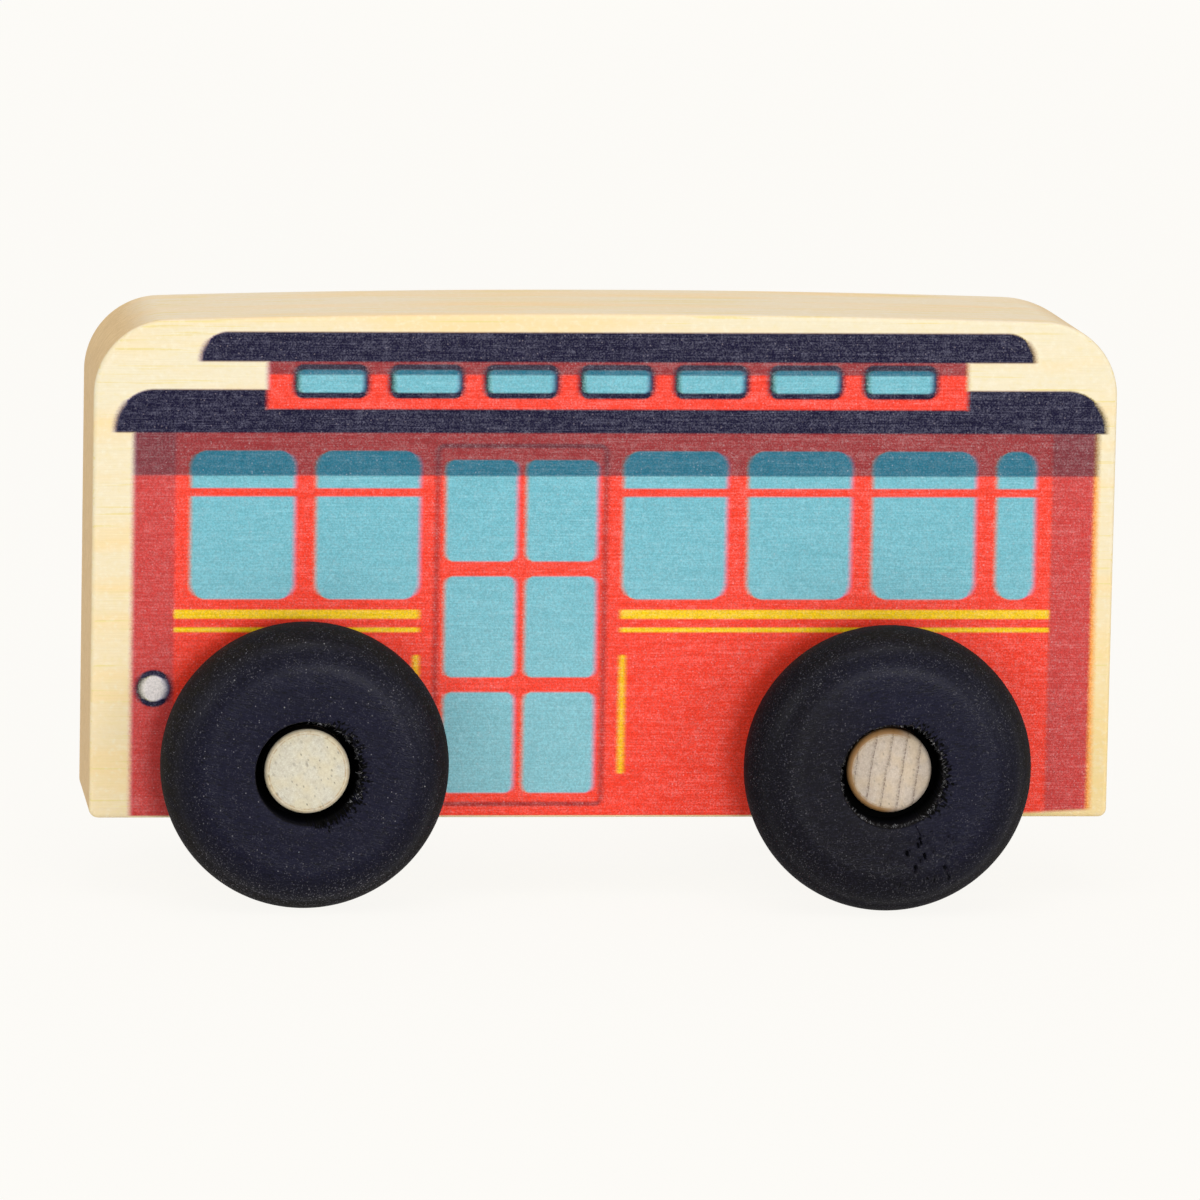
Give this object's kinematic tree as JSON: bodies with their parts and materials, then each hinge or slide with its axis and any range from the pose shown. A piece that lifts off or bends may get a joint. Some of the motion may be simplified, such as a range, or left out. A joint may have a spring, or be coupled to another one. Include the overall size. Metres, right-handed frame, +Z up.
{
  "type": "wooden toy trolley",
  "caption": "Push-along wooden trolley: a printed maple block with a crowned roof, rolling on turned wheels that spin loose on headed axle pegs.",
  "frame": {"origin": "middle of the footprint, on the surface that the wheels stand on", "axes": "+X from the front end to the rear end, +Y from the left side to the right side, +Z up"},
  "size_m": [0.136, 0.0528, 0.0782],
  "materials": {
    "maple_block": "smooth sanded maple with a printed livery on both sides",
    "birch_peg": "bare turned birch, end grain on the head",
    "dyed_wheel": "matt near-black dye over turned wood"
  },
  "bodies": {
    "block": {"trolley_block": "maple_block", "front_left_axle_peg": "birch_peg", "front_right_axle_peg": "birch_peg", "rear_left_axle_peg": "birch_peg", "rear_right_axle_peg": "birch_peg"},
    "front_left_wheel": {"front_left_wheel": "dyed_wheel"},
    "front_right_wheel": {"front_right_wheel": "dyed_wheel"},
    "rear_left_wheel": {"rear_left_wheel": "dyed_wheel"},
    "rear_right_wheel": {"rear_right_wheel": "dyed_wheel"}
  },
  "joints": [
    {"name": "front_left_wheel_spin", "type": "hinge", "parent": "block", "child": "front_left_wheel", "pos_m": [-0.04, -0.01765, 0.01905], "axis": [0, -1, 0], "continuous": true},
    {"name": "front_right_wheel_spin", "type": "hinge", "parent": "block", "child": "front_right_wheel", "pos_m": [-0.04, 0.01765, 0.01905], "axis": [0, -1, 0], "continuous": true},
    {"name": "rear_left_wheel_spin", "type": "hinge", "parent": "block", "child": "rear_left_wheel", "pos_m": [0.0372, -0.02005, 0.01905], "axis": [0, -1, 0], "continuous": true},
    {"name": "rear_right_wheel_spin", "type": "hinge", "parent": "block", "child": "rear_right_wheel", "pos_m": [0.0372, 0.02005, 0.01905], "axis": [0, -1, 0], "continuous": true}
  ]
}
